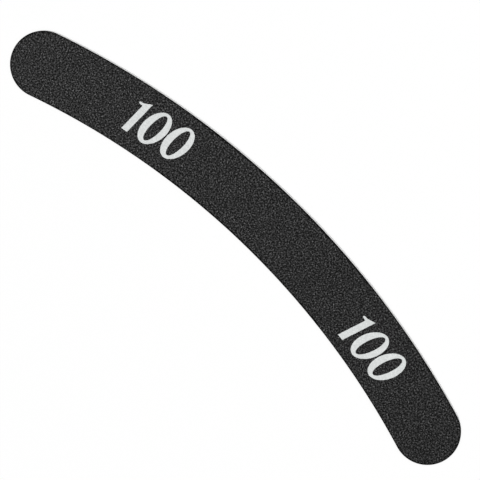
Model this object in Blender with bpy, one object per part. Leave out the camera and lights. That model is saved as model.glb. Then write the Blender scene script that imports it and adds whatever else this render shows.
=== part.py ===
"""Curved two-sided nail file: sheets of foam, board and abrasive paper bonded into one arc-shaped strip.

Lengths are in metres and +Z is up. The file lies on its back face, with its length along X and the
outer, convex edge of the arc towards +Y. The origin is the middle of the box round it, at its base.
"""

import math

import bmesh
import bpy

# Outline of the strip, seen from above: its width at the middle, and how much wider its round ends are
CENTRELINE_RADIUS = 0.2585
CAP_SPACING = 0.160
STRIP_WIDTH = 0.0202
END_FLARE = 0.00022
ARC_STEPS = 24
CAP_STEPS = 20

# Thickness of each sheet, from the middle of the strip outwards
CORE_THICKNESS = 0.0005
CORE_GLUE_THICKNESS = 0.00008
FOAM_THICKNESS = 0.0012
PAPER_GLUE_THICKNESS = 0.00008
PAPER_THICKNESS = 0.00014
GRIT_THICKNESS = 0.00025

# Printed grit number: the ink fills the valleys of the grit and ends level with its peaks
INK_THICKNESS = 0.00010
INK_CLEARANCE = 0.00002
CUT_OVERRUN = 0.0005

# Shape of the numerals, before they lean over
NUMERAL_SLANT = math.radians(11.0)
ONE_HEIGHT = 0.01115
ONE_STEM_WIDTH = 0.00225
ZERO_HALF_WIDTH = 0.00392
ZERO_HALF_HEIGHT = 0.00590
ZERO_SIDE_STROKE = 0.00229
ZERO_END_STROKE = 0.00115
ZERO_COUNTER_SHIFT = (0.00014, 0.00010)
ZERO_STEPS = 32

# The one's outline, as shares of its stem width and of its height, round from the foot's left corner
ONE_OUTLINE_SHARES = (
    (-0.50, 0.0),
    (0.50, 0.0),
    (0.50, 1.0),
    (0.12, 0.973),
    (-0.38, 0.945),
    (-1.08, 0.925),
    (-1.16, 0.875),
    (-0.86, 0.860),
    (-0.62, 0.878),
    (-0.50, 0.850),
)

# Gaps along the baseline, between the one's stem and the first zero, and between the zeros
ONE_GAP = 0.00140
ZERO_GAP = 0.00033

# Place of each group's first zero: distance in from the strip's end along its centreline, distance from
# the centreline towards the outer edge, and the turn of the baseline from the centreline's direction
LEFT_MARK_FROM_END = 0.04900
LEFT_MARK_OFFSET = 0.00022
LEFT_MARK_TURN = math.radians(0.90)
RIGHT_MARK_FROM_END = 0.04148
RIGHT_MARK_OFFSET = -0.00097
RIGHT_MARK_TURN = math.radians(3.36)

# Base colour, roughness and metallic value of each material
FINISHES = {
    "black_grit": ((0.026, 0.026, 0.027), 0.78, 0.0),
    "black_paper": ((0.035, 0.034, 0.033), 0.90, 0.0),
    "white_foam": ((0.83, 0.83, 0.82), 0.85, 0.0),
    "white_board": ((0.80, 0.81, 0.81), 0.35, 0.0),
    "clear_glue": ((0.74, 0.71, 0.62), 0.30, 0.0),
    "pale_ink": ((0.69, 0.71, 0.70), 0.60, 0.0),
}

# Edges that turn by more than this stay sharp
SHARP_ANGLE = math.radians(30.0)

HALF_WIDTH = STRIP_WIDTH / 2
CAP_RADIUS = (STRIP_WIDTH + END_FLARE) / 2
CAP_ANGLE = math.asin(CAP_SPACING / 2 / CENTRELINE_RADIUS)
HALF_LENGTH_ALONG_ARC = CENTRELINE_RADIUS * CAP_ANGLE + CAP_RADIUS

# The arc's centre lies below the origin, so that the strip's own box is centred on the origin
CAP_CENTRE_ABOVE_ARC_CENTRE = CENTRELINE_RADIUS * math.cos(CAP_ANGLE)
OUTER_EDGE_ABOVE_ARC_CENTRE = CENTRELINE_RADIUS + HALF_WIDTH
ARC_CENTRE_Y = -(OUTER_EDGE_ABOVE_ARC_CENTRE + CAP_CENTRE_ABOVE_ARC_CENTRE - CAP_RADIUS) / 2

SIDE_SHEETS = (
    ("core_glue", CORE_GLUE_THICKNESS, "clear_glue"),
    ("foam", FOAM_THICKNESS, "white_foam"),
    ("paper_glue", PAPER_GLUE_THICKNESS, "clear_glue"),
    ("paper", PAPER_THICKNESS, "black_paper"),
    ("grit_coat", GRIT_THICKNESS, "black_grit"),
)
SIDE_THICKNESS = CORE_THICKNESS / 2 + sum(thickness for _, thickness, _ in SIDE_SHEETS)


def clear_scene():
    """Takes away whatever the scene holds."""
    for obj in list(bpy.data.objects):
        bpy.data.objects.remove(obj)


def make_materials():
    """One plain material for each finish, by name."""
    materials = {}
    for name, (colour, roughness, metallic) in FINISHES.items():
        material = bpy.data.materials.new(name)
        material.use_nodes = True
        shader = material.node_tree.nodes["Principled BSDF"]
        shader.inputs["Base Color"].default_value = (*colour, 1.0)
        shader.inputs["Roughness"].default_value = roughness
        shader.inputs["Metallic"].default_value = metallic
        materials[name] = material
    return materials


def arc_points(centre_x, centre_y, radius, start, sweep, steps):
    """Points of an arc, from its start up to but without its end."""
    return [
        (
            centre_x + radius * math.cos(start + sweep * step / steps),
            centre_y + radius * math.sin(start + sweep * step / steps),
        )
        for step in range(steps)
    ]


def long_edge(side):
    """The outer edge's arc, for side 1, or the inner edge's, for side -1, which runs smoothly into both caps.

    Returns its centre's height, its radius and half the angle that it spans.
    """
    reach = CENTRELINE_RADIUS + side * (HALF_WIDTH - CAP_RADIUS)
    rise = (reach**2 - CENTRELINE_RADIUS**2) / (2 * (reach - CAP_CENTRE_ABOVE_ARC_CENTRE))
    radius = CENTRELINE_RADIUS + side * HALF_WIDTH - rise
    half_angle = math.atan2(CAP_SPACING / 2, CAP_CENTRE_ABOVE_ARC_CENTRE - rise)
    return ARC_CENTRE_Y + rise, radius, half_angle


def strip_outline():
    """The strip's outline, anticlockwise: right cap, outer edge, left cap, inner edge."""
    cap_x = CAP_SPACING / 2
    cap_y = ARC_CENTRE_Y + CAP_CENTRE_ABOVE_ARC_CENTRE
    up = math.pi / 2
    outer_y, outer_radius, outer_angle = long_edge(1)
    inner_y, inner_radius, inner_angle = long_edge(-1)
    cap_sweep = math.pi + inner_angle - outer_angle
    return (
        arc_points(cap_x, cap_y, CAP_RADIUS, -up - inner_angle, cap_sweep, CAP_STEPS)
        + arc_points(0.0, outer_y, outer_radius, up - outer_angle, 2 * outer_angle, ARC_STEPS)
        + arc_points(-cap_x, cap_y, CAP_RADIUS, up + outer_angle, cap_sweep, CAP_STEPS)
        + arc_points(0.0, inner_y, inner_radius, up + inner_angle, -2 * inner_angle, ARC_STEPS)
    )


def leaned(point):
    """A point of an upright numeral, moved sideways by the numerals' slant."""
    return point[0] + point[1] * math.tan(NUMERAL_SLANT), point[1]


def grown(outline, distance):
    """An anticlockwise outline with every side moved outwards by a distance."""
    moved = []
    for index, (x, y) in enumerate(outline):
        before = outline[index - 1]
        after = outline[(index + 1) % len(outline)]
        first = math.atan2(y - before[1], x - before[0])
        second = math.atan2(after[1] - y, after[0] - x)
        turn = (second - first + math.pi) % (2 * math.pi) - math.pi
        outward = first + turn / 2 - math.pi / 2
        reach = distance / math.cos(turn / 2)
        moved.append((x + reach * math.cos(outward), y + reach * math.sin(outward)))
    return moved


def one_outline():
    """Outline of the numeral one, standing about the origin."""
    return [
        leaned((across * ONE_STEM_WIDTH, (up - 0.5) * ONE_HEIGHT))
        for across, up in ONE_OUTLINE_SHARES
    ]


def oval_outline(half_width, half_height, shift=(0.0, 0.0)):
    """A leaning oval, anticlockwise, for the outside or the counter of a zero."""
    turns = [2 * math.pi * step / ZERO_STEPS for step in range(ZERO_STEPS)]
    return [
        leaned((shift[0] + half_width * math.cos(turn), shift[1] + half_height * math.sin(turn)))
        for turn in turns
    ]


def zero_outlines():
    """The outside and the counter of the numeral zero."""
    outside = oval_outline(ZERO_HALF_WIDTH, ZERO_HALF_HEIGHT)
    counter = oval_outline(
        ZERO_HALF_WIDTH - ZERO_SIDE_STROKE,
        ZERO_HALF_HEIGHT - ZERO_END_STROKE,
        ZERO_COUNTER_SHIFT,
    )
    return outside, counter


def add_loop(bm, outline, height):
    """Adds a closed loop of edges at a height and returns its vertices and edges."""
    verts = [bm.verts.new((x, y, height)) for x, y in outline]
    edges = [bm.edges.new((verts[index - 1], vert)) for index, vert in enumerate(verts)]
    return verts, edges


def thicken(bm, faces, thickness):
    """Extrudes flat faces straight up and turns every face of the result outwards."""
    made = bmesh.ops.extrude_face_region(bm, geom=faces, use_keep_orig=True)
    raised = [item for item in made["geom"] if isinstance(item, bmesh.types.BMVert)]
    bmesh.ops.translate(bm, verts=raised, vec=(0.0, 0.0, thickness))
    bmesh.ops.recalc_face_normals(bm, faces=bm.faces)


def finish_mesh(bm, name):
    """Turns the bmesh into a mesh, shaded smooth round its walls."""
    mesh = bpy.data.meshes.new(name)
    bm.to_mesh(mesh)
    bm.free()
    mesh.shade_smooth()
    mesh.set_sharp_from_angle(angle=SHARP_ANGLE)
    return mesh


def plate_mesh(name, outline, bottom, top):
    """A flat plate between two heights, with this outline."""
    bm = bmesh.new()
    verts, _ = add_loop(bm, outline, bottom)
    thicken(bm, [bm.faces.new(verts)], top - bottom)
    return finish_mesh(bm, name)


def ring_mesh(name, outside, counter, bottom, top):
    """A flat ring between two heights; both outlines have as many points."""
    bm = bmesh.new()
    _, outside_edges = add_loop(bm, outside, bottom)
    _, counter_edges = add_loop(bm, counter, bottom)
    made = bmesh.ops.bridge_loops(bm, edges=outside_edges + counter_edges)
    thicken(bm, made["faces"], top - bottom)
    return finish_mesh(bm, name)


def numeral_meshes():
    """Meshes of the two numerals, whose tops lie at height zero."""
    outside, counter = zero_outlines()
    return {
        "one": plate_mesh("numeral_one", one_outline(), -INK_THICKNESS, 0.0),
        "zero": ring_mesh("numeral_zero", outside, counter, -INK_THICKNESS, 0.0),
    }


def pocket_meshes():
    """Cutters for the numerals' pockets: each numeral with its clearance, running out past the face."""
    floor = -INK_THICKNESS - INK_CLEARANCE
    outside, counter = zero_outlines()
    outside = grown(outside, INK_CLEARANCE)
    counter = grown(counter, -INK_CLEARANCE)
    one = grown(one_outline(), INK_CLEARANCE)
    return {
        "one": plate_mesh("pocket_one", one, floor, CUT_OVERRUN),
        "zero": ring_mesh("pocket_zero", outside, counter, floor, CUT_OVERRUN),
    }


def add_object(name, mesh, parent, location, material=None):
    """Puts a mesh into the scene under a parent."""
    obj = bpy.data.objects.new(name, mesh)
    bpy.context.scene.collection.objects.link(obj)
    obj.parent = parent
    obj.location = location
    if material is not None and not mesh.materials:
        mesh.materials.append(material)
    return obj


def add_empty(name, parent, location):
    """Puts an empty into the scene."""
    return add_object(name, None, parent, location)


def add_core(materials):
    """The stiff board in the middle of the strip."""
    mesh = plate_mesh("core_board", strip_outline(), -CORE_THICKNESS / 2, CORE_THICKNESS / 2)
    middle = (0.0, 0.0, SIDE_THICKNESS)
    return add_object("core_board", mesh, None, middle, materials["white_board"])


def add_sheets(side_name, side, materials):
    """The sheets on one side of the core, from the core outwards. Returns the outermost, the grit coat."""
    bottom = CORE_THICKNESS / 2
    for sheet_name, thickness, finish in SIDE_SHEETS:
        top = bottom + thickness
        name = f"{side_name}_{sheet_name}"
        mesh = plate_mesh(name, strip_outline(), bottom, top)
        sheet = add_object(name, mesh, side, (0.0, 0.0, 0.0), materials[finish])
        bottom = top
    return sheet


def add_mark_frame(name, side, arc_position, offset, turn):
    """An empty at a mark's first zero, level with the grit's outer face and turned along the baseline."""
    angle = arc_position / CENTRELINE_RADIUS
    radius = CENTRELINE_RADIUS + offset
    place = (
        radius * math.sin(angle),
        ARC_CENTRE_Y + radius * math.cos(angle),
        SIDE_THICKNESS,
    )
    frame = add_empty(name, side, place)
    frame.rotation_euler = (0.0, 0.0, turn - angle)
    return frame


def add_mark(name, frame, numerals, pockets, grit_coat, ink):
    """The grit number, one ink numeral at a time, each in its own pocket in the grit coat."""
    places = (
        ("one", "one", -ONE_STEM_WIDTH / 2 - ONE_GAP - ZERO_HALF_WIDTH),
        ("middle_zero", "zero", 0.0),
        ("last_zero", "zero", 2 * ZERO_HALF_WIDTH + ZERO_GAP),
    )
    for numeral_name, shape, along in places:
        place = (along, 0.0, 0.0)
        add_object(f"{name}_{numeral_name}", numerals[shape], frame, place, ink)
        cutter = add_object(f"{name}_{numeral_name}_pocket", pockets[shape], frame, place)
        cutter.hide_render = True
        cutter.display_type = "WIRE"
        cut = grit_coat.modifiers.new(f"{numeral_name}_pocket", "BOOLEAN")
        cut.operation = "DIFFERENCE"
        cut.object = cutter


def add_side(side_name, turned_over, numerals, pockets, materials):
    """Everything on one side of the core. The back is the front turned over about the Y axis."""
    side = add_empty(f"{side_name}_side", None, (0.0, 0.0, SIDE_THICKNESS))
    side.rotation_mode = "QUATERNION"
    side.rotation_quaternion = (0.0, 0.0, 1.0, 0.0) if turned_over else (1.0, 0.0, 0.0, 0.0)
    grit_coat = add_sheets(side_name, side, materials)
    marks = (
        ("left", LEFT_MARK_FROM_END - HALF_LENGTH_ALONG_ARC, LEFT_MARK_OFFSET, LEFT_MARK_TURN),
        ("right", HALF_LENGTH_ALONG_ARC - RIGHT_MARK_FROM_END, RIGHT_MARK_OFFSET, RIGHT_MARK_TURN),
    )
    for mark_name, arc_position, offset, turn in marks:
        name = f"{side_name}_{mark_name}"
        frame = add_mark_frame(f"{name}_mark", side, arc_position, offset, turn)
        add_mark(name, frame, numerals, pockets, grit_coat, materials["pale_ink"])


def main():
    """Builds the whole file."""
    clear_scene()
    materials = make_materials()
    numerals = numeral_meshes()
    pockets = pocket_meshes()
    add_core(materials)
    add_side("front", False, numerals, pockets, materials)
    add_side("back", True, numerals, pockets, materials)
    bpy.context.view_layer.update()


if __name__ == "__main__":
    main()
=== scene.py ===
"""Looks of a curved two-sided nail file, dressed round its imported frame.

Lengths are in metres. The file lies on its back face with +Z up, its length runs along X, and the outer,
convex edge of its arc faces +Y. All its sheets are die cut at once, so they share one plan. Each side is
modelled facing up, in that side's own coordinates, and the back is then turned over about the Y axis.
"""

import logging
import math
import random
from collections.abc import Mapping
from dataclasses import dataclass
from enum import Enum

import bmesh
import bpy
from mathutils import Matrix, Vector, noise


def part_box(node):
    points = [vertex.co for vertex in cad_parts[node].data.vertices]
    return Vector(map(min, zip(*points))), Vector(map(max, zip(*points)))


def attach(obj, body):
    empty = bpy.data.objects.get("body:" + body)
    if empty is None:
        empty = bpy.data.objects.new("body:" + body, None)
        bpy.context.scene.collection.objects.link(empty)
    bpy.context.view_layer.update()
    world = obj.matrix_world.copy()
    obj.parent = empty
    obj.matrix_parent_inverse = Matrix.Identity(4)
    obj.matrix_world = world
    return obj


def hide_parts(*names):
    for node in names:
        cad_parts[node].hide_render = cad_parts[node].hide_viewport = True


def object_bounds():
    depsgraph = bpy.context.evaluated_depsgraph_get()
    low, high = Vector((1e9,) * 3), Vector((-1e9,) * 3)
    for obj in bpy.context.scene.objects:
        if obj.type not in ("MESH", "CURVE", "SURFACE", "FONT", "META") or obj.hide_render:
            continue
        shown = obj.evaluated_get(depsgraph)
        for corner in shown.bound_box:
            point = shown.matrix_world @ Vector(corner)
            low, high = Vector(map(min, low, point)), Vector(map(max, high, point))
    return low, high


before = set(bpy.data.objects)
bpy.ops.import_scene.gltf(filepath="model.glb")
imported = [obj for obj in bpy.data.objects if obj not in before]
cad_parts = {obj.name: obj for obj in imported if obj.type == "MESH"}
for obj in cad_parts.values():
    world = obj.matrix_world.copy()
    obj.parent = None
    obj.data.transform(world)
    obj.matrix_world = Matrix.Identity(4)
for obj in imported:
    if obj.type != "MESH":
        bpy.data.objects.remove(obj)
CAD_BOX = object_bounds()

LOG = logging.getLogger("nail_file")
BODY = "root"
HEIGHT = "grain_height"
FLOAT = "NodeSocketFloat"
COLOUR = "NodeSocketColor"

# The strip's width at its middle, and how much wider it is at its caps
STRIP_WIDTH = 0.0202
END_FLARE = 0.00022

# Seed of the wobble in the numerals' edges, the same on every run
WOBBLE_SEED = 7

# Points closer together than this are one point
MERGE_DISTANCE = 1e-7

# Points closer to the edge than this lie on it
EDGE_TOLERANCE = 1e-5

Plan = tuple[float, float]
Span = tuple[float, float]
Colour = tuple[float, float, float, float]


class Side(Enum):
    """The two faces of the file."""

    FRONT = "front"
    BACK = "back"


class End(Enum):
    """The two ends of the file, each with a grit number."""

    LEFT = "left"
    RIGHT = "right"


class Numeral(Enum):
    """The numerals of a grit number, as they are read."""

    ONE = "one"
    MIDDLE_ZERO = "middle_zero"
    LAST_ZERO = "last_zero"


# Seed of each side's random draws
SEEDS = {Side.FRONT: 11, Side.BACK: 23}


@dataclass(frozen=True)
class SideFrame:
    """Coordinates of one side of the file, in which that side faces up."""

    side: Side
    middle: float

    @property
    def matrix(self) -> Matrix:
        """The turn from this side's coordinates to the file's, and back again.

        Returns:
            No turn for the front, and half a turn about Y for the back.
        """
        if self.side is Side.FRONT:
            return Matrix.Identity(4)
        half_turn = Matrix.Diagonal((-1.0, 1.0, -1.0, 1.0))
        return Matrix.Translation((0.0, 0.0, 2 * self.middle)) @ half_turn

    @property
    def seed(self) -> int:
        """Seed of this side's random draws."""
        return SEEDS[self.side]

    def node(self, name: str) -> str:
        """Full name of a node on this side."""
        return f"{self.side.value}_{name}"

    def box(self, name: str) -> tuple[Vector, Vector]:
        """Lowest and highest corners of a node on this side, in this side's coordinates."""
        ends = [self.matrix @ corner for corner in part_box(self.node(name))]
        return Vector(map(min, *ends)), Vector(map(max, *ends))

    def span(self, name: str) -> Span:
        """Lowest and highest level of a node on this side."""
        low, high = self.box(name)
        return low.z, high.z


@dataclass(frozen=True)
class Strip:
    """The file's plan: an arc that widens a little towards its ends, with a round cap at each.

    A place on it is given along the centreline, from the middle towards +X, and across it, from the
    centreline towards the outer edge.
    """

    half_chord: float
    waist: float
    cap_radius: float
    radius: float
    centre_y: float

    @classmethod
    def from_frame(cls, width: float, flare: float) -> "Strip":
        """Reads the plan from the box round the core board.

        Args:
            width: The strip's width at its middle.
            flare: How much wider it is at its caps.

        Returns:
            The plan.
        """
        low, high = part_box("core_board")
        waist = width / 2
        cap_radius = (width + flare) / 2
        half_chord = (high.x - low.x) / 2 - cap_radius
        rise = high.y - low.y - waist - cap_radius
        radius = (half_chord**2 + rise**2) / (2 * rise)
        return cls(half_chord, waist, cap_radius, radius, high.y - waist - radius)

    @property
    def end_angle(self) -> float:
        """Angle from the middle of the arc to the centre of a cap."""
        return math.asin(self.half_chord / self.radius)

    @property
    def half_length(self) -> float:
        """Length of the centreline from its middle to the tip."""
        return self.radius * self.end_angle + self.cap_radius

    @property
    def perimeter(self) -> float:
        """Length of the edge, measured on the centreline along the arc and round the caps."""
        return 4 * self.radius * self.end_angle + math.tau * self.cap_radius

    def place(self, along: float, across: float) -> Plan:
        """Finds a place in the file's coordinates.

        Args:
            along: How far along the strip it is.
            across: How far across.

        Returns:
            Its X and Y.
        """
        angle = max(-self.end_angle, min(self.end_angle, along / self.radius))
        past = along - angle * self.radius
        reach = self.radius + across
        return (
            reach * math.sin(angle) + past * math.cos(angle),
            self.centre_y + reach * math.cos(angle) - past * math.sin(angle),
        )

    def locate(self, x: float, y: float) -> Plan:
        """Finds where on the strip a point lies.

        Args:
            x: The point's X.
            y: The point's Y.

        Returns:
            Its place along and across the strip.
        """
        up = y - self.centre_y
        angle = max(-self.end_angle, min(self.end_angle, math.atan2(x, up)))
        across = x * math.sin(angle) + up * math.cos(angle) - self.radius
        past = x * math.cos(angle) - up * math.sin(angle)
        return angle * self.radius + past, across

    def past_arc(self, along: float) -> float:
        """How far a place lies past the arc's end, into a cap. Negative in the cap at -X."""
        arc_half = self.radius * self.end_angle
        return along - max(-arc_half, min(arc_half, along))

    def reach(self, along: float) -> float:
        """Measures from the centreline out to the edge.

        Args:
            along: Where along the strip.

        Returns:
            The distance.
        """
        angle = (along - self.past_arc(along)) / self.radius
        widening = (1.0 - math.cos(angle)) / (1.0 - math.cos(self.end_angle))
        return self.waist + (self.cap_radius - self.waist) * widening

    def inset(self, along: float, across: float) -> float:
        """Distance from a place in to the strip's edge."""
        return self.reach(along) - math.hypot(self.past_arc(along), across)

    def at_inset(self, along: float, across: float, inset: float) -> Plan:
        """Moves a place near the edge straight in or out.

        Args:
            along: How far along the strip it is.
            across: How far across.
            inset: The distance in from the edge that it is moved to.

        Returns:
            The new place, along and across the strip.
        """
        past = self.past_arc(along)
        stretch = (self.reach(along) - inset) / math.hypot(past, across)
        return along - past + past * stretch, across * stretch

    def outward(self, x: float, y: float) -> Vector:
        """Finds which way the nearest stretch of the edge lies.

        Args:
            x: The X of a point on the strip.
            y: Its Y.

        Returns:
            A unit vector in plan.
        """
        along, across = self.locate(x, y)
        foot = Vector(self.place(along - self.past_arc(along), 0.0))
        return (Vector((x, y)) - foot).normalized()

    def round_edge(self, distance: float, inset: float) -> Plan:
        """Finds a place near the edge by walking round it.

        Args:
            distance: How far to walk, anticlockwise from where the inner edge meets the cap at +X.
            inset: How far in from the edge.

        Returns:
            The place, along and across the strip.
        """
        arc_half = self.radius * self.end_angle
        cap = math.pi * self.cap_radius
        side = 1.0
        if distance >= cap + 2 * arc_half:
            distance -= cap + 2 * arc_half
            side = -1.0
        if distance < cap:
            turn = distance / self.cap_radius - math.pi / 2
            reach = self.cap_radius - inset
            return side * (arc_half + reach * math.cos(turn)), side * reach * math.sin(turn)
        along = side * (arc_half - (distance - cap))
        return along, side * (self.reach(along) - inset)


@dataclass(frozen=True)
class RolledEdge:
    """The roll that the cutting die leaves along the edge of each face, where the foam stays squashed.

    Where the roll is modelled, its width is divided at the inset shares.
    """

    squash_bottom: float
    squash_top: float
    depth: float = 0.00012
    width: float = 0.00050
    inset_shares: tuple[float, ...] = (1.0, 0.6, 0.25)

    def drop(self, inset: float, level: float) -> float:
        """Finds how far a point is pressed down.

        Args:
            inset: The point's distance in from the edge.
            level: The point's height before it is pressed.

        Returns:
            The distance that it drops.
        """
        if inset >= self.width:
            return 0.0
        squashed = (level - self.squash_bottom) / (self.squash_top - self.squash_bottom)
        return self.depth * (1.0 - inset / self.width) ** 2 * max(0.0, min(1.0, squashed))

    @property
    def insets(self) -> list[float]:
        """Distances in from the edge at which the roll is modelled, the farthest first."""
        return [share * self.width for share in self.inset_shares]


class Graph:
    """Adds nodes to one shader tree and feeds their sockets."""

    def __init__(self, tree: bpy.types.NodeTree) -> None:
        """Starts on a tree."""
        self.tree = tree

    def add(
        self, kind: str, inputs: Mapping[str | int, object] | None = None, **settings: object
    ) -> bpy.types.Node:
        """Adds a node.

        Args:
            kind: Blender's name for the kind of node.
            inputs: For each socket, by name or number, the socket that feeds it or its value.
            **settings: Properties of the node.

        Returns:
            The node.
        """
        node = self.tree.nodes.new(kind)
        for name, value in settings.items():
            setattr(node, name, value)
        for socket, value in (inputs or {}).items():
            if isinstance(value, bpy.types.NodeSocket):
                self.tree.links.new(value, node.inputs[socket])
            else:
                node.inputs[socket].default_value = value
        return node

    def math(self, operation: str, first: object, second: object = 0.0) -> bpy.types.NodeSocket:
        """Adds a calculation with two values and returns its result."""
        return self.add("ShaderNodeMath", {0: first, 1: second}, operation=operation).outputs[0]

    def vector(self, operation: str, *values: object) -> bpy.types.NodeOutputs:
        """Adds a calculation with vectors and returns its results."""
        return self.add("ShaderNodeVectorMath", dict(enumerate(values)), operation=operation).outputs

    def remap(self, value: object, low: object, high: object) -> bpy.types.NodeSocket:
        """Stretches a value from 0 to 1 over a new range and returns it."""
        node = self.add("ShaderNodeMapRange", {"Value": value, "To Min": low, "To Max": high})
        return node.outputs["Result"]

    def mix(self, factor: object, first: object, second: object) -> bpy.types.NodeSocket:
        """Mixes two colours and returns the result."""
        # The colours come after the sockets for plain values and vectors
        inputs = {0: factor, 6: first, 7: second}
        return self.add("ShaderNodeMix", inputs, data_type="RGBA").outputs[2]

    def noise(
        self, place: object, scale: object, detail: float, roughness: float = 0.5
    ) -> bpy.types.NodeOutputs:
        """Adds a cloudy noise, about 0.5, and returns its results."""
        inputs = {"Vector": place, "Scale": scale, "Detail": detail, "Roughness": roughness}
        return self.add("ShaderNodeTexNoise", inputs).outputs

    def cells(self, place: object, scale: object) -> tuple[bpy.types.NodeOutputs, bpy.types.NodeOutputs]:
        """Divides space into cells, and returns the results and three random draws for each cell."""
        cells = self.add("ShaderNodeTexVoronoi", {"Vector": place, "Scale": scale}).outputs
        return cells, self.add("ShaderNodeSeparateColor", {0: cells["Color"]}).outputs

    def place(self) -> bpy.types.NodeSocket:
        """The point's own place on the object."""
        return self.add("ShaderNodeTexCoord").outputs["Object"]


class Effect:
    """A group of shader nodes that several finishes share, with named inputs and outputs."""

    name: str = "effect"
    inputs: tuple[tuple[str, str, object], ...] = ()
    outputs: tuple[tuple[str, str], ...] = ()

    def __init__(self) -> None:
        """Makes the group's sockets and wires it."""
        self.tree = bpy.data.node_groups.new(self.name, "ShaderNodeTree")
        for name, kind, value in self.inputs:
            socket = self.tree.interface.new_socket(name=name, in_out="INPUT", socket_type=kind)
            socket.default_value = value
        for name, kind in self.outputs:
            self.tree.interface.new_socket(name=name, in_out="OUTPUT", socket_type=kind)
        graph = Graph(self.tree)
        source = graph.add("NodeGroupInput").outputs
        results = self.wire(graph, source)
        graph.add("NodeGroupOutput", results)

    def wire(self, graph: Graph, source: bpy.types.NodeOutputs) -> dict[str, bpy.types.NodeSocket]:
        """Wires the group from its inputs, and returns the socket that feeds each output."""
        raise NotImplementedError

    def use(self, graph: Graph, **values: object) -> bpy.types.NodeOutputs:
        """Places the group in a material. The spaces in its inputs' names are given as underscores."""
        inputs = {name.replace("_", " "): value for name, value in values.items()}
        return graph.add("ShaderNodeGroup", inputs, node_tree=self.tree).outputs


class CrushedGrain(Effect):
    """Crystals of crushed mineral, each a flat face with a lean, a tone and a gloss of its own.

    They lie thicker in some places than in others. The bright share of them has the full tone.
    """

    name = "crushed_grain"
    inputs = (("grain size", FLOAT, 0.0003), ("clump size", FLOAT, 0.001), ("clumping", FLOAT, 0.3))
    outputs = (("tone", FLOAT), ("gloss", FLOAT), ("height", FLOAT))
    bright_share: float = 0.5

    def wire(self, graph: Graph, source: bpy.types.NodeOutputs) -> dict[str, bpy.types.NodeSocket]:
        """Lays out the crystals.

        Args:
            graph: The group's nodes.
            source: The group's inputs.

        Returns:
            The socket that feeds each output.
        """
        place = graph.place()
        crystals, draws = graph.cells(place, graph.math("DIVIDE", 1.0, source["grain size"]))
        clumps = graph.noise(place, graph.math("DIVIDE", 1.0, source["clump size"]), detail=1.0)
        swing = graph.math("SUBTRACT", clumps["Fac"], 0.5)
        clumped = graph.math("ADD", draws[0], graph.math("MULTIPLY", swing, source["clumping"]))
        tone = graph.add(
            "ShaderNodeMath", {0: clumped, 1: self.bright_share}, operation="ADD", use_clamp=True
        )
        lean = graph.vector("SUBTRACT", crystals["Color"], (0.5, 0.5, 0.5))
        offset = graph.vector("SUBTRACT", place, crystals["Position"])
        rise = graph.vector("DOT_PRODUCT", offset[0], lean[0])["Value"]
        height = graph.math("DIVIDE", rise, source["grain size"])
        return {"tone": tone.outputs[0], "gloss": draws[1], "height": height}


class CutPores(Effect):
    """Cut cells or fibres in a die-cut edge: small hollows and their depth. The foam darkens the hollows
    with painted shade.

    Each is a bowl: its floor reaches out to the floor share of the pore size, its rim to the rim share.
    """

    name = "cut_pores"
    inputs = (("pore size", FLOAT, 0.0002), ("share open", FLOAT, 0.3))
    outputs = (("hollow", FLOAT), ("height", FLOAT))
    floor_share: float = 0.1
    rim_share: float = 0.6

    def wire(self, graph: Graph, source: bpy.types.NodeOutputs) -> dict[str, bpy.types.NodeSocket]:
        """Sinks the hollows.

        Args:
            graph: The group's nodes.
            source: The group's inputs.

        Returns:
            The socket that feeds each output.
        """
        place = graph.place()
        scale = graph.math("DIVIDE", 1.0, source["pore size"])
        drift = graph.noise(place, scale, detail=1.0)["Color"]
        warped = graph.vector("MULTIPLY_ADD", drift, source["pore size"], place)[0]
        pores, draws = graph.cells(warped, scale)
        falling = {"To Min": 1.0, "To Max": 0.0}
        depth = graph.add(
            "ShaderNodeMapRange", {"Value": draws[0], "From Max": source["share open"], **falling}
        )
        walls = {"Value": pores["Distance"], "From Min": self.floor_share, "From Max": self.rim_share}
        bowl = graph.add("ShaderNodeMapRange", {**walls, **falling}, interpolation_type="SMOOTHSTEP")
        hollow = graph.math("MULTIPLY", depth.outputs["Result"], bowl.outputs["Result"])
        return {"hollow": hollow, "height": graph.math("SUBTRACT", 1.0, hollow)}


class PaleDust(Effect):
    """A thin, uneven bloom of pale filing dust over a colour."""

    name = "pale_dust"
    inputs = (
        ("colour", COLOUR, (0.5, 0.5, 0.5, 1.0)),
        ("dust colour", COLOUR, (0.62, 0.60, 0.57, 1.0)),
        ("amount", FLOAT, 0.05),
        ("patch size", FLOAT, 0.006),
    )
    outputs = (("colour", COLOUR),)

    def wire(self, graph: Graph, source: bpy.types.NodeOutputs) -> dict[str, bpy.types.NodeSocket]:
        """Dusts the colour.

        Args:
            graph: The group's nodes.
            source: The group's inputs.

        Returns:
            The socket that feeds each output.
        """
        scale = graph.math("DIVIDE", 1.0, source["patch size"])
        patches = graph.noise(graph.place(), scale, detail=4.0, roughness=0.65)["Fac"]
        cover = graph.math("MULTIPLY", patches, source["amount"])
        return {"colour": graph.mix(cover, source["colour"], source["dust colour"])}


@dataclass(frozen=True)
class Effects:
    """The shared effects, each built once."""

    grain: CrushedGrain
    pores: CutPores
    dust: PaleDust

    @classmethod
    def build(cls) -> "Effects":
        """Builds the groups."""
        return cls(CrushedGrain(), CutPores(), PaleDust())


@dataclass(frozen=True)
class Pattern:
    """What a finish draws on its surface: a colour, and a gloss and a height from 0 to 1."""

    colour: bpy.types.NodeSocket
    gloss: bpy.types.NodeSocket
    height: bpy.types.NodeSocket


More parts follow.
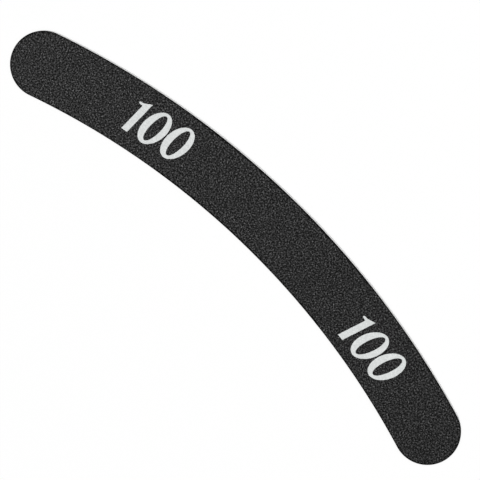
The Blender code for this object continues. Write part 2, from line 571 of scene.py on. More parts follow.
@dataclass(frozen=True)
class Finish:
    """A finish of one of the file's sheets: a pattern with some relief, under a thin bloom of dust.

    The roughness is given where the pattern's gloss is 0 and where it is 1.
    """

    name: str
    slot: str
    roughness: Span
    relief_depth: float
    relief_strength: float
    dust_amount: float
    dust_colour: Colour = (0.62, 0.60, 0.57, 1.0)
    dust_patch_size: float = 0.006
    specular_level: float = 0.5

    def pattern(self, graph: Graph, effects: Effects) -> Pattern:
        """Draws the finish with the shared effects, and returns its pattern."""
        raise NotImplementedError

    def material(self, effects: Effects) -> bpy.types.Material:
        """Makes the finish's material.

        Args:
            effects: The shared effects.

        Returns:
            The material.
        """
        material = bpy.data.materials.new(self.name)
        material.use_nodes = True
        graph = Graph(material.node_tree)
        pattern = self.pattern(graph, effects)
        dusted = effects.dust.use(
            graph,
            colour=pattern.colour,
            dust_colour=self.dust_colour,
            amount=self.dust_amount,
            patch_size=self.dust_patch_size,
        )
        relief = {"Height": pattern.height, "Distance": self.relief_depth, "Strength": self.relief_strength}
        shader = material.node_tree.nodes["Principled BSDF"]
        shader.inputs["Specular IOR Level"].default_value = self.specular_level
        for socket, source in (
            ("Base Color", dusted["colour"]),
            ("Roughness", graph.remap(pattern.gloss, *self.roughness)),
            ("Normal", graph.add("ShaderNodeBump", relief).outputs["Normal"]),
        ):
            graph.tree.links.new(source, shader.inputs[socket])
        return material


@dataclass(frozen=True)
class GritFinish(Finish):
    """Black silicon carbide grain in dark resin. Its peaks are bare crystals brightened by painted glints,
    and a painted gradient of light makes them paler towards -X.
    """

    name: str = "silicon_carbide"
    slot: str = "grit"
    roughness: Span = (0.65, 0.32)
    relief_depth: float = 0.00016
    relief_strength: float = 0.8
    dust_amount: float = 0.002
    specular_level: float = 0.02
    resin: Colour = (0.0015, 0.0015, 0.0015, 1.0)
    crystal_and_glint: Colour = (0.284, 0.284, 0.286, 1.0)
    grain_size: float = 0.00022
    clump_size: float = 0.00150
    clumping: float = 0.2
    peak_glint_power: float = 3.6
    painted_light_fade_per_metre: float = 1.4

    def pattern(self, graph: Graph, effects: Effects) -> Pattern:
        """Draws crystals that are bare at their peaks, with painted glints there, and sunk in resin below.

        Args:
            graph: The material's nodes.
            effects: The shared effects.

        Returns:
            Its pattern.
        """
        grain = effects.grain.use(
            graph, grain_size=self.grain_size, clump_size=self.clump_size, clumping=self.clumping
        )
        height = graph.add("ShaderNodeAttribute", attribute_name=HEIGHT).outputs["Fac"]
        # The peaks take the pale crystal colour, partly as bare crystals and partly as painted glints
        bared_and_glinting = graph.math("MULTIPLY", grain["tone"], graph.math("POWER", height, self.peak_glint_power))
        along = graph.add("ShaderNodeSeparateXYZ", {0: graph.place()}).outputs["X"]
        # Painted gradient of light: the bare crystals are paler towards -X and darker towards +X
        cover = graph.math("SUBTRACT", 1.0, graph.math("MULTIPLY", along, self.painted_light_fade_per_metre))
        colour = graph.mix(graph.math("MULTIPLY", bared_and_glinting, cover), self.resin, self.crystal_and_glint)
        return Pattern(colour, grain["gloss"], grain["height"])


@dataclass(frozen=True)
class InkFinish(Finish):
    """Pale screen-print ink that takes some of the grain beneath."""

    name: str = "printed_ink"
    slot: str = "ink"
    roughness: Span = (0.62, 0.5)
    relief_depth: float = 0.00002
    relief_strength: float = 0.4
    dust_amount: float = 0.05
    ink: Colour = (0.73, 0.75, 0.745, 1.0)
    thin_ink: Colour = (0.62, 0.64, 0.635, 1.0)
    thin_power: float = 3.0
    grain_size: float = 0.00034
    clump_size: float = 0.0012
    clumping: float = 0.5

    def pattern(self, graph: Graph, effects: Effects) -> Pattern:
        """Draws ink that is thinner over some of the crystals.

        Args:
            graph: The material's nodes.
            effects: The shared effects.

        Returns:
            Its pattern.
        """
        grain = effects.grain.use(
            graph, grain_size=self.grain_size, clump_size=self.clump_size, clumping=self.clumping
        )
        colour = graph.mix(graph.math("POWER", grain["tone"], self.thin_power), self.ink, self.thin_ink)
        return Pattern(colour, grain["gloss"], grain["height"])


@dataclass(frozen=True)
class FoamFinish(Finish):
    """White closed-cell foam whose cells show where the die cut it, with painted shade in the cut cells."""

    name: str = "pad_foam"
    slot: str = "foam"
    roughness: Span = (0.78, 0.95)
    relief_depth: float = 0.00006
    relief_strength: float = 0.8
    dust_amount: float = 0.10
    dust_colour: Colour = (0.62, 0.62, 0.62, 1.0)
    skin: Colour = (0.86, 0.86, 0.86, 1.0)
    pore_shade: Colour = (0.56, 0.56, 0.56, 1.0)
    pore_size: float = 0.00019
    open_share: float = 0.9

    def pattern(self, graph: Graph, effects: Effects) -> Pattern:
        """Draws the skin, with painted shade in its cut cells.

        Args:
            graph: The material's nodes.
            effects: The shared effects.

        Returns:
            Its pattern.
        """
        pores = effects.pores.use(graph, pore_size=self.pore_size, share_open=self.open_share)
        # Painted shade: each cut cell is darker the deeper it is hollowed
        colour = graph.mix(pores["hollow"], self.skin, self.pore_shade)
        return Pattern(colour, pores["hollow"], pores["height"])


@dataclass(frozen=True)
class BoardFinish(Finish):
    """White polystyrene board with fine upright lines down its cut edge."""

    name: str = "core_sheet"
    slot: str = "core_board"
    roughness: Span = (0.28, 0.5)
    relief_depth: float = 0.00003
    relief_strength: float = 0.7
    dust_amount: float = 0.08
    sheet: Colour = (0.80, 0.81, 0.81, 1.0)
    bruised: Colour = (0.70, 0.71, 0.72, 1.0)
    lines_per_metre: float = 7000.0
    line_squash_share: float = 0.08
    pore_size: float = 0.00012
    open_share: float = 0.08

    def pattern(self, graph: Graph, effects: Effects) -> Pattern:
        """Draws the lines.

        Args:
            graph: The material's nodes.
            effects: The shared effects.

        Returns:
            Its pattern.
        """
        squashed = {"Vector": graph.place(), "Scale": (1.0, 1.0, self.line_squash_share)}
        upright = graph.add("ShaderNodeMapping", squashed).outputs["Vector"]
        lines = graph.noise(upright, self.lines_per_metre, detail=3.0, roughness=0.6)["Fac"]
        pores = effects.pores.use(graph, pore_size=self.pore_size, share_open=self.open_share)
        height = graph.math("MULTIPLY", lines, pores["height"])
        return Pattern(graph.mix(lines, self.sheet, self.bruised), lines, height)


@dataclass(frozen=True)
class GlueFinish(Finish):
    """Adhesive film that shows as a thin glossy line between the sheets."""

    name: str = "glue_film"
    slot: str = "glue"
    roughness: Span = (0.15, 0.35)
    relief_depth: float = 0.00003
    relief_strength: float = 0.6
    dust_amount: float = 0.15
    dust_patch_size: float = 0.002
    film: Colour = (0.72, 0.70, 0.63, 1.0)
    soiled: Colour = (0.45, 0.43, 0.38, 1.0)
    soil_power: float = 2.0
    strings_per_metre: float = 2400.0

    def pattern(self, graph: Graph, effects: Effects) -> Pattern:
        """Draws the strings that the die has pulled from the film.

        Args:
            graph: The material's nodes.
            effects: The shared effects.

        Returns:
            Its pattern.
        """
        strings = graph.noise(graph.place(), self.strings_per_metre, detail=2.0)["Fac"]
        colour = graph.mix(graph.math("POWER", strings, self.soil_power), self.film, self.soiled)
        return Pattern(colour, strings, strings)


@dataclass(frozen=True)
class PaperFinish(Finish):
    """Black backing paper whose fibres fray where the die cut it."""

    name: str = "backing_paper"
    slot: str = "paper"
    roughness: Span = (0.8, 0.95)
    relief_depth: float = 0.00004
    relief_strength: float = 0.8
    dust_amount: float = 0.03
    fibre: Colour = (0.030, 0.030, 0.031, 1.0)
    torn: Colour = (0.085, 0.083, 0.080, 1.0)
    torn_power: float = 2.5
    fibres_per_metre: float = 6500.0
    pore_size: float = 0.00014
    open_share: float = 0.35

    def pattern(self, graph: Graph, effects: Effects) -> Pattern:
        """Draws the fibres, paler where they are torn.

        Args:
            graph: The material's nodes.
            effects: The shared effects.

        Returns:
            Its pattern.
        """
        fibres = graph.noise(graph.place(), self.fibres_per_metre, detail=4.0, roughness=0.7)["Fac"]
        pores = effects.pores.use(graph, pore_size=self.pore_size, share_open=self.open_share)
        frayed = graph.math("MULTIPLY", fibres, pores["height"])
        colour = graph.mix(graph.math("POWER", frayed, self.torn_power), self.fibre, self.torn)
        return Pattern(colour, fibres, frayed)


def finish_piece(
    name: str, bm: bmesh.types.BMesh, finish: Finish, effects: Effects, turn: Matrix
) -> bpy.types.Object:
    """Turns a bmesh into a finished piece that rides on the file.

    Args:
        name: The piece's name.
        bm: Its shape, in its side's coordinates. It is freed.
        finish: Its finish.
        effects: The shared effects.
        turn: The turn from its side's coordinates to the file's.

    Returns:
        The piece.
    """
    bmesh.ops.transform(bm, matrix=turn, verts=bm.verts)
    mesh = bpy.data.meshes.new(name)
    bm.to_mesh(mesh)
    bm.free()
    if not mesh.polygons:
        raise ValueError(f"{name} has no faces")
    mesh.materials.append(bpy.data.materials.get(finish.name) or finish.material(effects))
    piece = bpy.data.objects.new(name, mesh)
    bpy.context.scene.collection.objects.link(piece)
    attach(piece, BODY)
    LOG.info("%s: %d faces", name, len(mesh.polygons))
    return piece


@dataclass(frozen=True)
class CutEdge:
    """How the die leaves the cut edge of a sheet.

    The edge is modelled with a point each step along it, and is divided into its wall steps up it. It
    bows in at mid height, waves in and out by the ruffle, and the pit share of its points is pitted.
    The ruffle changes more slowly up the edge than along it, by the ruffle rise share.
    """

    step: float = 0.00030
    wall_steps: int = 1
    bow: float = 0.0
    ruffle: float = 0.00001
    ruffle_size: float = 0.0004
    ruffle_rise_share: float = 0.3
    pit_depth: float = 0.0
    pit_share: float = 0.0


@dataclass(frozen=True)
class DieCutSheet:
    """A flat sheet, whose cut edge is carried round the strip as one profile."""

    strip: Strip
    edge: RolledEdge
    cut: CutEdge
    bottom: float
    top: float
    seed: int

    def profile(self) -> list[Plan]:
        """Draws the sheet's edge in section.

        Returns:
            Its points' insets from the edge and heights, from the underside to the top.
        """
        under = [(inset, self.bottom) for inset in self.edge.insets]
        levels = [step / self.cut.wall_steps for step in range(self.cut.wall_steps + 1)]
        wall = [(0.0, self.bottom + (self.top - self.bottom) * level) for level in levels]
        over = [(inset, self.top) for inset in reversed(self.edge.insets)]
        return under + wall + over

    def wrapped(self) -> bmesh.types.BMesh:
        """Carries the profile round the strip.

        Returns:
            The closed sheet, before its edge is pressed and roughened.
        """
        profile = self.profile()
        rows = len(profile) - 1
        columns = round(self.strip.perimeter / self.cut.step)
        bm = bmesh.new()
        bmesh.ops.create_grid(bm, x_segments=columns, y_segments=rows, size=0.5)
        for vert in bm.verts:
            inset, level = profile[round((vert.co.y + 0.5) * rows)]
            distance = (vert.co.x + 0.5) * self.strip.perimeter
            vert.co.xy = self.strip.place(*self.strip.round_edge(distance, inset))
            vert.co.z = level
        bmesh.ops.remove_doubles(bm, verts=bm.verts, dist=MERGE_DISTANCE)
        rims = [edge for edge in bm.edges if edge.is_boundary]
        bmesh.ops.holes_fill(bm, edges=rims, sides=0)
        bmesh.ops.recalc_face_normals(bm, faces=bm.faces)
        return bm

    def roughen(self, bm: bmesh.types.BMesh) -> None:
        """Presses the rim down, bows the wall in, ruffles it along its length and pits it.

        Args:
            bm: The sheet.
        """
        rng = random.Random(self.seed)
        cut = self.cut
        for vert in bm.verts:
            x, y, level = vert.co
            inset = self.strip.inset(*self.strip.locate(x, y))
            vert.co.z -= self.edge.drop(max(0.0, inset), level)
            if inset > EDGE_TOLERANCE:
                continue
            rise = (level - self.bottom) / (self.top - self.bottom)
            on_wall = 4 * rise * (1 - rise)
            field = Vector((x, y, level * cut.ruffle_rise_share + self.seed)) / cut.ruffle_size
            push = cut.ruffle * noise.noise(field) - cut.bow * on_wall
            if on_wall > 0 and rng.random() < cut.pit_share:
                push -= cut.pit_depth * rng.random()
            vert.co.xy += push * self.strip.outward(x, y)

    def build(self) -> bmesh.types.BMesh:
        """Builds the sheet.

        Returns:
            Its closed mesh, in its side's coordinates.
        """
        bm = self.wrapped()
        self.roughen(bm)
        return bm


@dataclass(frozen=True)
class GritCoat:
    """A coat of sharp grain: a sheet of small flat facets whose peaks stand level with the face.

    Its points lie a cell apart, jittered. One in each block of cells carries a large grain, whose depth is
    drawn from the proud shares of the grain's depth. The others fill in, drawn from the filler shares.
    In the crushed rim, every point lies at least the rim share deep, so the finish colours the rim darker,
    partly as crushed grain and partly as painted shade.
    """

    strip: Strip
    edge: RolledEdge
    bottom: float
    top: float
    seed: int
    cell: float = 0.00022
    jitter_share: float = 0.36
    trim_share: float = 0.4
    merge_share: float = 0.05
    grain_depth: float = 0.00019
    block: int = 4
    proud_shares: Span = (0.0, 0.25)
    filler_shares: Span = (0.0, 1.0)
    evening_passes: int = 6
    evening_factor: float = 0.5
    crushed_rim: float = 0.00035
    rim_share: float = 0.5

    @property
    def columns(self) -> int:
        """Cells along the strip."""
        return round(2 * self.strip.half_length / self.cell)

    @property
    def rows(self) -> int:
        """Cells across the strip."""
        return round(2 * self.strip.cap_radius / self.cell)

    def trim(self, bm: bmesh.types.BMesh) -> None:
        """Cuts the flat grid to the strip's outline.

        Args:
            bm: The grid, laid along and across the strip.
        """
        slack = self.trim_share * self.cell
        outside = [vert for vert in bm.verts if self.strip.inset(vert.co.x, vert.co.y) < -slack]
        bmesh.ops.delete(bm, geom=outside, context="VERTS")
        loose = [vert for vert in bm.verts if not vert.link_faces]
        bmesh.ops.delete(bm, geom=loose, context="VERTS")
        rim = [vert for vert in bm.verts if vert.is_boundary]
        for vert in rim:
            vert.co.xy = self.strip.at_inset(vert.co.x, vert.co.y, 0.0)
        bmesh.ops.remove_doubles(bm, verts=rim, dist=self.merge_share * self.cell)

    def proud_spots(self, rng: random.Random) -> set[tuple[int, int]]:
        """Picks the points of the grid that carry a large grain, one to each block.

        Args:
            rng: Where the draws come from.

        Returns:
            Their columns and rows.
        """
        return {
            (left + rng.randrange(self.block), low + rng.randrange(self.block))
            for left in range(0, self.columns + 1, self.block)
            for low in range(0, self.rows + 1, self.block)
        }

    def draw_depths(self, bm: bmesh.types.BMesh, rng: random.Random) -> list[float]:
        """Draws how deep each point lies. The large grains stand proud.

        Args:
            bm: The flat grid.
            rng: Where the draws come from.

        Returns:
            A share of the grain's depth for each point.
        """
        spots = self.proud_spots(rng)
        shares = []
        for vert in bm.verts:
            column = round((vert.co.x + self.strip.half_length) / self.cell)
            row = round((vert.co.y + self.strip.cap_radius) / self.cell)
            limits = self.proud_shares if (column, row) in spots else self.filler_shares
            shares.append(rng.uniform(*limits))
        return shares

    def evened(self, bm: bmesh.types.BMesh, shares: list[float]) -> list[float]:
        """Takes out what the depths have in common over a wider area, as grains crowd each other out.

        Args:
            bm: The flat grid, whose heights are used up.
            shares: A depth for each point.

        Returns:
            The evened depths.
        """
        for vert, share in zip(bm.verts, shares):
            vert.co.z = share
        for _ in range(self.evening_passes):
            bmesh.ops.smooth_vert(bm, verts=bm.verts, factor=self.evening_factor, use_axis_z=True)
        mean = sum(shares) / len(shares)
        return [max(0.0, min(1.0, share - (vert.co.z - mean))) for vert, share in zip(bm.verts, shares)]

    def grow_grain(self, bm: bmesh.types.BMesh) -> None:
        """Sets each point at its depth and shifts it about. Along the rim the die has crushed the grain.

        Args:
            bm: The flat grid, trimmed.
        """
        rng = random.Random(self.seed)
        shares = self.evened(bm, self.draw_depths(bm, rng))
        reach = self.jitter_share * self.cell
        for vert, share in zip(bm.verts, shares):
            # The deeper rim takes more of the resin's colour, which paints shade along the edge
            if self.strip.inset(vert.co.x, vert.co.y) < self.crushed_rim:
                share = self.rim_share + (1.0 - self.rim_share) * share
            if not vert.is_boundary:
                vert.co.xy += Vector((rng.uniform(-reach, reach), rng.uniform(-reach, reach)))
            vert.co.z = self.top - self.grain_depth * share

    def keep_heights(self, bm: bmesh.types.BMesh) -> None:
        """Stores each facet's height for the finish, from 0 at the foot of the grain to 1 at its peaks.

        Args:
            bm: The facets.
        """
        kept = bm.faces.layers.float.new(HEIGHT)
        for face in bm.faces:
            depth = self.top - face.calc_center_median().z
            face[kept] = 1.0 - depth / self.grain_depth

    def bend(self, bm: bmesh.types.BMesh) -> None:
        """Bends the straight sheet into the strip's arc and presses its rim down.

        Args:
            bm: The sheet.
        """
        for vert in bm.verts:
            inset = self.strip.inset(vert.co.x, vert.co.y)
            vert.co.z -= self.edge.drop(max(0.0, inset), vert.co.z)
            vert.co.xy = self.strip.place(vert.co.x, vert.co.y)

    def facets(self) -> bmesh.types.BMesh:
        """Makes the coat's outer surface alone.

        Returns:
            The facets, in their side's coordinates.
        """
        bm = bmesh.new()
        bmesh.ops.create_grid(bm, x_segments=self.columns, y_segments=self.rows, size=1.0)
        size = Vector((self.strip.half_length, self.strip.cap_radius, 1.0))
        bmesh.ops.scale(bm, vec=size, verts=bm.verts)
        self.trim(bm)
        self.grow_grain(bm)
        bmesh.ops.triangulate(bm, faces=bm.faces, quad_method="SHORT_EDGE")
        self.keep_heights(bm)
        self.bend(bm)
        return bm

    def close(self, bm: bmesh.types.BMesh) -> None:
        """Adds the coat's cut edge and its underside, which lies on the paper.

        Args:
            bm: The facets.
        """
        rim = [edge for edge in bm.edges if edge.is_boundary]
        for inset in (0.0, *reversed(self.edge.insets)):
            made = bmesh.ops.extrude_edge_only(bm, edges=rim)["geom"]
            for vert in made:
                if isinstance(vert, bmesh.types.BMVert):
                    place = self.strip.locate(vert.co.x, vert.co.y)
                    vert.co.xy = self.strip.place(*self.strip.at_inset(*place, inset))
                    vert.co.z = self.bottom - self.edge.drop(inset, self.bottom)
            rim = [item for item in made if isinstance(item, bmesh.types.BMEdge)]
        bmesh.ops.holes_fill(bm, edges=rim, sides=0)
        bmesh.ops.recalc_face_normals(bm, faces=bm.faces)


@dataclass(frozen=True)
class NumeralShapes:
    """Outlines of the two numerals, in the sizes of the printed grit number.

    The one's outline runs anticlockwise from its foot's left corner. Its points are given across in stem
    widths, from the stem's middle, and up in shares of its height, from its foot.
    """

    slant: float = math.radians(11.0)
    one_height: float = 0.01115
    one_stem_width: float = 0.00225
    zero_half_width: float = 0.00392
    zero_half_height: float = 0.00590
    zero_side_stroke: float = 0.00229
    zero_end_stroke: float = 0.00115
    zero_counter_shift: Plan = (0.00014, 0.00010)
    one_gap: float = 0.00140
    step: float = 0.00016
    draw_in: float = 0.00008
    one_shares: tuple[Plan, ...] = (
        (-0.50, 0.0),
        (0.50, 0.0),
        (0.50, 0.94),
        (0.53, 1.014),
        (0.10, 0.979),
        (-0.24, 0.941),
        (-0.52, 0.916),
        (-0.76, 0.906),
        (-1.08, 0.905),
        (-1.22, 0.866),
        (-1.02, 0.834),
        (-0.75, 0.822),
        (-0.58, 0.830),
        (-0.50, 0.810),
    )

    def leaned(self, x: float, y: float) -> Plan:
        """A point of an upright numeral, leaned over by the slant."""
        return x + y * math.tan(self.slant), y

    @staticmethod
    def shifted(outline: list[Plan], distance: float) -> list[Plan]:
        """Moves every side of an anticlockwise outline in or out.

        Args:
            outline: The outline.
            distance: How far in. Below zero, it is how far out.

        Returns:
            The moved outline.
        """
        moved = []
        for index, point in enumerate(outline):
            before = (Vector(point) - Vector(outline[index - 1])).normalized()
            after = (Vector(outline[(index + 1) % len(outline)]) - Vector(point)).normalized()
            inward = (before + after).orthogonal()
            moved.append(tuple(Vector(point) + distance * 2 / inward.length_squared * inward))
        return moved

    @property
    def one_offset(self) -> float:
        """Place of the one along the baseline, from the middle of the first zero."""
        return -self.one_stem_width / 2 - self.one_gap - self.zero_half_width

    def one(self) -> list[list[Plan]]:
        """Draws the one, drawn in as the ink soaks down.

        Returns:
            Its outline, with a point every step.
        """
        drawn = [
            self.leaned(across * self.one_stem_width, (up - 0.5) * self.one_height)
            for across, up in self.one_shares
        ]
        corners = self.shifted(drawn, self.draw_in)
        outline = []
        for index, end in enumerate(corners):
            start = corners[index - 1]
            count = max(1, round(math.dist(start, end) / self.step))
            for step in range(count):
                share = step / count
                outline.append(tuple(a + (b - a) * share for a, b in zip(start, end)))
        return [outline]

    def zero(self) -> list[list[Plan]]:
        """Draws the zero, drawn in as the one is.

        Returns:
            Its outside and its counter, with as many points each.
        """
        count = round(math.tau * self.zero_half_height / self.step)
        inner_width = self.zero_half_width - self.zero_side_stroke
        inner_height = self.zero_half_height - self.zero_end_stroke
        turns = [math.tau * step / count for step in range(count)]
        outlines = []
        for width, height, (right, up), draw_in in (
            (self.zero_half_width, self.zero_half_height, (0.0, 0.0), self.draw_in),
            (inner_width, inner_height, self.zero_counter_shift, -self.draw_in),
        ):
            oval = [
                self.leaned(right + width * math.cos(turn), up + height * math.sin(turn)) for turn in turns
            ]
            outlines.append(self.shifted(oval, draw_in))
        return outlines


@dataclass(frozen=True)
class GritNumber:
    """A grit number printed over the grain: each numeral is a film that follows the facets beneath.

    The ink fills the valleys up to the fill depth below the peaks, but for the relief share of their shape,
    and soaks down by the soak. The edge of each numeral wobbles where the ink has crept between grains.
    """

    side_frame: SideFrame
    end: End
    top: float
    shapes: NumeralShapes = NumeralShapes()
    film: float = 0.000014
    fill_depth: float = 0.00005
    relief_share: float = 0.25
    soak: float = 0.00003
    cut_reach: float = 0.00030
    edge_wobble: float = 0.00006
    wobble_size: float = 0.00028
    margin: float = 0.0008

    def node(self, numeral: Numeral) -> str:
        """A numeral's node, without the side."""
        return f"{self.end.value}_{numeral.value}"

    def centre(self, numeral: Numeral) -> Vector:
        """Middle of a numeral's node, in this side's coordinates."""
        low, high = self.side_frame.box(self.node(numeral))
        return ((low + high) / 2).to_2d()

    def baseline(self) -> Vector:
        """Step along the baseline from the first zero to the last."""
        return self.centre(Numeral.LAST_ZERO) - self.centre(Numeral.MIDDLE_ZERO)

    def numerals(self) -> dict[Numeral, tuple[Vector, list[list[Plan]]]]:
        """Sets the number.

        Returns:
            For each numeral, where it stands and its outlines.
        """
        first = self.centre(Numeral.MIDDLE_ZERO)
        one_place = first + self.baseline().normalized() * self.shapes.one_offset
        return {
            Numeral.ONE: (one_place, self.shapes.one()),
            Numeral.MIDDLE_ZERO: (first, self.shapes.zero()),
            Numeral.LAST_ZERO: (self.centre(Numeral.LAST_ZERO), self.shapes.zero()),
        }

    def prism(self, place: Vector, outlines: list[list[Plan]]) -> bmesh.types.BMesh:
        """Makes a solid with the numeral's outline, tall enough to cut the film from.

        Args:
            place: Where the numeral stands.
            outlines: Its outside and, where it has one, its counter.

        Returns:
            The closed solid.
        """
        along = self.baseline()
        turn = Matrix.Rotation(math.atan2(along.y, along.x), 2)
        bm = bmesh.new()
        rings = []
        for outline in outlines:
            verts = []
            for point in outline:
                spot = place + turn @ Vector(point)
                field = Vector((spot.x, spot.y, self.side_frame.seed)) / self.wobble_size
                spot += self.edge_wobble * noise.noise_vector(field).to_2d()
                verts.append(bm.verts.new((spot.x, spot.y, self.top - self.cut_reach)))
            rings.append([bm.edges.new((verts[index - 1], vert)) for index, vert in enumerate(verts)])
        if len(rings) == 1:
            faces = bmesh.ops.contextual_create(bm, geom=rings[0])["faces"]
        else:
            faces = bmesh.ops.bridge_loops(bm, edges=rings[0] + rings[1])["faces"]
        made = bmesh.ops.extrude_face_region(bm, geom=faces, use_keep_orig=True)["geom"]
        raised = [item for item in made if isinstance(item, bmesh.types.BMVert)]
        bmesh.ops.translate(bm, verts=raised, vec=(0.0, 0.0, 2 * self.cut_reach))
        bmesh.ops.recalc_face_normals(bm, faces=bm.faces)
        return bm

    def blanket(self, facets: bmesh.types.BMesh) -> bmesh.types.BMesh:
        """Lays ink over the grain round the number, before it is cut to the numerals' outlines.

        Args:
            facets: The coat's outer surface.

        Returns:
            The closed layer, whose top fills the valleys between the grains.
        """
        along = self.baseline().normalized()
        bm = facets.copy()
        for direction, reach in (
            (along, self.shapes.zero_half_height + self.shapes.zero_half_width * 2),
            (-along, self.shapes.zero_half_height + self.shapes.zero_half_width),
            (along.orthogonal(), self.shapes.zero_half_height),
            (-along.orthogonal(), self.shapes.zero_half_height),
        ):
            edge = self.centre(Numeral.MIDDLE_ZERO) + (reach + self.margin) * direction
            bmesh.ops.bisect_plane(
                bm,
                geom=[*bm.verts, *bm.edges, *bm.faces],
                dist=MERGE_DISTANCE,
                plane_co=edge.to_3d(),
                plane_no=direction.to_3d(),
                clear_outer=True,
            )
        fill = self.top - self.fill_depth
        for vert in bm.verts:
            level = vert.co.z
            vert.co.z = max(level + self.film, fill + self.relief_share * (level - fill))
        made = bmesh.ops.extrude_face_region(bm, geom=bm.faces[:], use_keep_orig=True)["geom"]
        sunk = [item for item in made if isinstance(item, bmesh.types.BMVert)]
        bmesh.ops.translate(bm, verts=sunk, vec=(0.0, 0.0, -self.soak))
        bmesh.ops.recalc_face_normals(bm, faces=bm.faces)
        return bm

    @staticmethod
    def cut(blanket: bmesh.types.BMesh, prism: bmesh.types.BMesh) -> bmesh.types.BMesh:
        """Cuts a numeral's film from the layer of ink.

        Args:
            blanket: The layer.
            prism: The numeral's solid.

        Returns:
            What the two share.
        """
        made = []
        for bm in (blanket, prism):
            mesh = bpy.data.meshes.new("printing")
            bm.to_mesh(mesh)
            made.append(bpy.data.objects.new("printing", mesh))
            bpy.context.scene.collection.objects.link(made[-1])
        layer, shape = made
        modifier = layer.modifiers.new("outline", "BOOLEAN")
        modifier.operation = "INTERSECT"
        modifier.object = shape
        bpy.context.view_layer.update()
        film = bmesh.new()
        film.from_object(layer, bpy.context.evaluated_depsgraph_get())
        for obj in made:
            mesh = obj.data
            bpy.data.objects.remove(obj)
            bpy.data.meshes.remove(mesh)
        return film

    def print_over(self, facets: bmesh.types.BMesh, finish: Finish, effects: Effects) -> None:
        """Prints the number.

        Args:
            facets: The coat's outer surface.
            finish: The ink's finish.
            effects: The shared effects.
        """
        blanket = self.blanket(facets)
        for numeral, (place, outlines) in self.numerals().items():
            prism = self.prism(place, outlines)
            film = self.cut(blanket, prism)
            prism.free()
            node = self.side_frame.node(self.node(numeral))
            piece = finish_piece(f"{node}_ink", film, finish, effects, self.side_frame.matrix)
            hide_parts(node)
        blanket.free()


@dataclass(frozen=True)
class FileSide:
    """Everything on one side of the core: glue, foam, glue, paper, grit and its printed numbers."""

    side_frame: SideFrame
    strip: Strip
    effects: Effects
    core_glue_cut: CutEdge = CutEdge(ruffle=0.00002, ruffle_size=0.0006)
    foam_cut: CutEdge = CutEdge(
        step=0.00012, wall_steps=10, bow=0.00005, ruffle=0.00003, pit_depth=0.00007, pit_share=0.4
    )
    paper_glue_cut: CutEdge = CutEdge(ruffle=0.00002, ruffle_size=0.0005)
    paper_cut: CutEdge = CutEdge(wall_steps=2, ruffle=0.00002, ruffle_size=0.0003)

    @property
    def edge(self) -> RolledEdge:
        """The roll along this side's edge, taken up by its foam."""
        return RolledEdge(*self.side_frame.span("foam"))

    def place_piece(
        self, name: str, ending: str, bm: bmesh.types.BMesh, finish: Finish
    ) -> bpy.types.Object:
        """Puts a finished piece in the place of its node.

        Args:
            name: The node's name, without the side.
            ending: What the piece's own name adds to the node's.
            bm: The piece's shape, in this side's coordinates.
            finish: Its finish.

        Returns:
            The piece.
        """
        node = self.side_frame.node(name)
        piece = finish_piece(f"{node}_{ending}", bm, finish, self.effects, self.side_frame.matrix)
        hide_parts(node)
        return piece

    def lay_sheet(self, name: str, finish: Finish, cut: CutEdge) -> bpy.types.Object:
        """Builds one sheet.

        Args:
            name: Its node's name, without the side.
            finish: Its finish.
            cut: Its cut edge.

        Returns:
            The piece.
        """
        bottom, top = self.side_frame.span(name)
        sheet = DieCutSheet(self.strip, self.edge, cut, bottom, top, self.side_frame.seed)
        return self.place_piece(name, "sheet", sheet.build(), finish)

    def lay_pad(self) -> None:
        """Builds the glue, the foam pad and the paper that it carries."""
        self.lay_sheet("core_glue", GlueFinish(), self.core_glue_cut)
        foam = self.lay_sheet("foam", FoamFinish(), self.foam_cut)
        self.lay_sheet("paper_glue", GlueFinish(), self.paper_glue_cut)
        self.lay_sheet("paper", PaperFinish(), self.paper_cut)

    def lay_grit(self) -> None:
        """Builds the grit coat and prints its numbers."""
        bottom, top = self.side_frame.span("grit_coat")
        coat = GritCoat(self.strip, self.edge, bottom, top, self.side_frame.seed)
        facets = coat.facets()
        for end in End:
            GritNumber(self.side_frame, end, top).print_over(facets, InkFinish(), self.effects)
        coat.close(facets)
        self.place_piece("grit_coat", "facets", facets, GritFinish())

    def build(self) -> None:
        """Builds the side, from the core outwards."""
        self.lay_pad()
        self.lay_grit()


@dataclass(frozen=True)
class Core:
    """The stiff board in the middle of the file, whose cut edge stands a little proud."""

    strip: Strip
    effects: Effects
    cut: CutEdge = CutEdge(wall_steps=4, bow=-0.00003, ruffle=0.000012)
    seed: int = 5

    def build(self) -> None:
        """Builds the board over its node."""
        low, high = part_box("core_board")
        # The board doesn't give, so its roll starts above it and presses nothing
        unrolled = RolledEdge(high.z, high.z + self.strip.waist)
        shape = DieCutSheet(self.strip, unrolled, self.cut, low.z, high.z, self.seed).build()
        piece = finish_piece("core_board_sheet", shape, BoardFinish(), self.effects, Matrix.Identity(4))
        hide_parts("core_board")


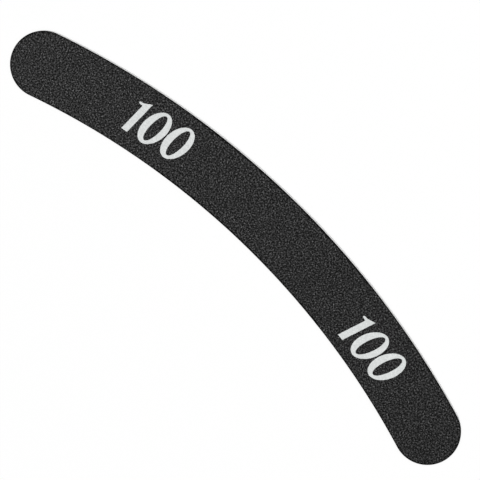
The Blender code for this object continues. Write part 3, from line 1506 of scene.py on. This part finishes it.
@dataclass(frozen=True)
class Studio:
    """A pale floor, a soft lamp, a white surround and the photograph's camera.

    Light that has run less than the contact gap passes the floor, so the face that lies on it can be seen.
    """

    floor_size: float = 6.0
    floor_colour: Colour = (0.95, 0.95, 0.95, 1.0)
    floor_roughness: float = 0.9
    floor_glow_share: float = 0.88
    contact_gap: float = 0.0003
    ambient: float = 0.42
    lamp_size: float = 0.90
    lamp_power: float = 15.55
    lamp_place: tuple[float, float, float] = (0.05, 0.20, 1.50)
    lens: float = 200.0
    sensor: float = 36.0
    view_width: float = 0.14455
    aim: Plan = (-0.00065, -0.00347)
    tilt: float = math.radians(8.0)
    roll: float = math.radians(43.73)

    @staticmethod
    def seen(graph: Graph) -> bpy.types.NodeSocket:
        """Picks the rays that show a surface itself: straight from the camera, mirrored or seen through.

        Args:
            graph: The nodes of the surface.

        Returns:
            1 for those rays, and 0 for others.
        """
        path = graph.add("ShaderNodeLightPath").outputs
        straight_or_mirrored = graph.math("MAXIMUM", path["Is Camera Ray"], path["Is Glossy Ray"])
        return graph.math("MAXIMUM", straight_or_mirrored, path["Is Transmission Ray"])

    def floor_material(self) -> bpy.types.Material:
        """Makes a plain floor that looks white and still takes the file's shadow.

        Returns:
            The material, which is clear from below and at the contact gap.
        """
        material = bpy.data.materials.new("pale_floor")
        material.use_nodes = True
        graph = Graph(material.node_tree)
        nodes = material.node_tree.nodes
        shader = nodes["Principled BSDF"]
        shader.inputs["Base Color"].default_value = self.floor_colour
        shader.inputs["Roughness"].default_value = self.floor_roughness
        glow = graph.add("ShaderNodeEmission", {"Strength": 1.0})
        share = graph.math("MULTIPLY", self.seen(graph), self.floor_glow_share)
        pale = graph.add("ShaderNodeMixShader", {0: share, 1: shader.outputs[0], 2: glow.outputs[0]})
        ray_length = graph.add("ShaderNodeLightPath").outputs["Ray Length"]
        is_contact = graph.math("LESS_THAN", ray_length, self.contact_gap)
        is_below = graph.add("ShaderNodeNewGeometry").outputs["Backfacing"]
        is_clear = graph.math("MAXIMUM", is_contact, is_below)
        clear = graph.add("ShaderNodeBsdfTransparent")
        surface = graph.add("ShaderNodeMixShader", {0: is_clear, 1: pale.outputs[0], 2: clear.outputs[0]})
        graph.tree.links.new(surface.outputs[0], nodes["Material Output"].inputs["Surface"])
        return material

    def build_floor(self) -> None:
        """Lays the floor."""
        bm = bmesh.new()
        bmesh.ops.create_grid(bm, x_segments=1, y_segments=1, size=self.floor_size / 2)
        mesh = bpy.data.meshes.new("floor")
        bm.to_mesh(mesh)
        bm.free()
        mesh.materials.append(self.floor_material())
        floor = bpy.data.objects.new("floor", mesh)
        bpy.context.scene.collection.objects.link(floor)

    def build_world(self) -> None:
        """Surrounds the scene with soft light, and with white where it is seen."""
        world = bpy.data.worlds.new("surround")
        bpy.context.scene.world = world
        world.use_nodes = True
        graph = Graph(world.node_tree)
        background = world.node_tree.nodes["Background"]
        background.inputs["Color"].default_value = (1.0, 1.0, 1.0, 1.0)
        strength = graph.remap(self.seen(graph), self.ambient, 1.0)
        graph.tree.links.new(strength, background.inputs["Strength"])

    def build_lamp(self) -> None:
        """Hangs one large soft lamp above the file."""
        data = bpy.data.lights.new("softbox", "AREA")
        data.shape = "SQUARE"
        data.size = self.lamp_size
        data.energy = self.lamp_power
        lamp = bpy.data.objects.new("softbox", data)
        lamp.location = self.lamp_place
        lamp.rotation_mode = "QUATERNION"
        lamp.rotation_quaternion = (-lamp.location).to_track_quat("-Z", "Y")
        bpy.context.scene.collection.objects.link(lamp)

    def build_camera(self) -> None:
        """Sets the camera almost straight above the file, which lies from upper left to lower right."""
        data = bpy.data.cameras.new("camera")
        data.lens = self.lens
        data.sensor_width = self.sensor
        camera = bpy.data.objects.new("camera", data)
        distance = self.view_width * self.lens / self.sensor
        target = Vector((*self.aim, CAD_BOX[1].z))
        facing = Matrix.Rotation(-self.tilt, 4, "X") @ Matrix.Rotation(self.roll, 4, "Z")
        back = facing.to_3x3().col[2]
        camera.matrix_world = Matrix.Translation(target + distance * back) @ facing
        bpy.context.scene.collection.objects.link(camera)
        bpy.context.scene.camera = camera

    def build(self) -> None:
        """Builds the studio."""
        self.build_floor()
        self.build_world()
        self.build_lamp()
        self.build_camera()
        bpy.context.scene.view_settings.view_transform = "Standard"


def main() -> None:
    """Dresses the file and lights it."""
    logging.basicConfig(level=logging.INFO, format="%(relativeCreated)d ms %(message)s")
    noise.seed_set(WOBBLE_SEED)
    strip = Strip.from_frame(STRIP_WIDTH, END_FLARE)
    middle = (CAD_BOX[0].z + CAD_BOX[1].z) / 2
    effects = Effects.build()
    Core(strip, effects).build()
    for side in Side:
        FileSide(SideFrame(side, middle), strip, effects).build()
    Studio().build()


if __name__ == "__main__":
    main()
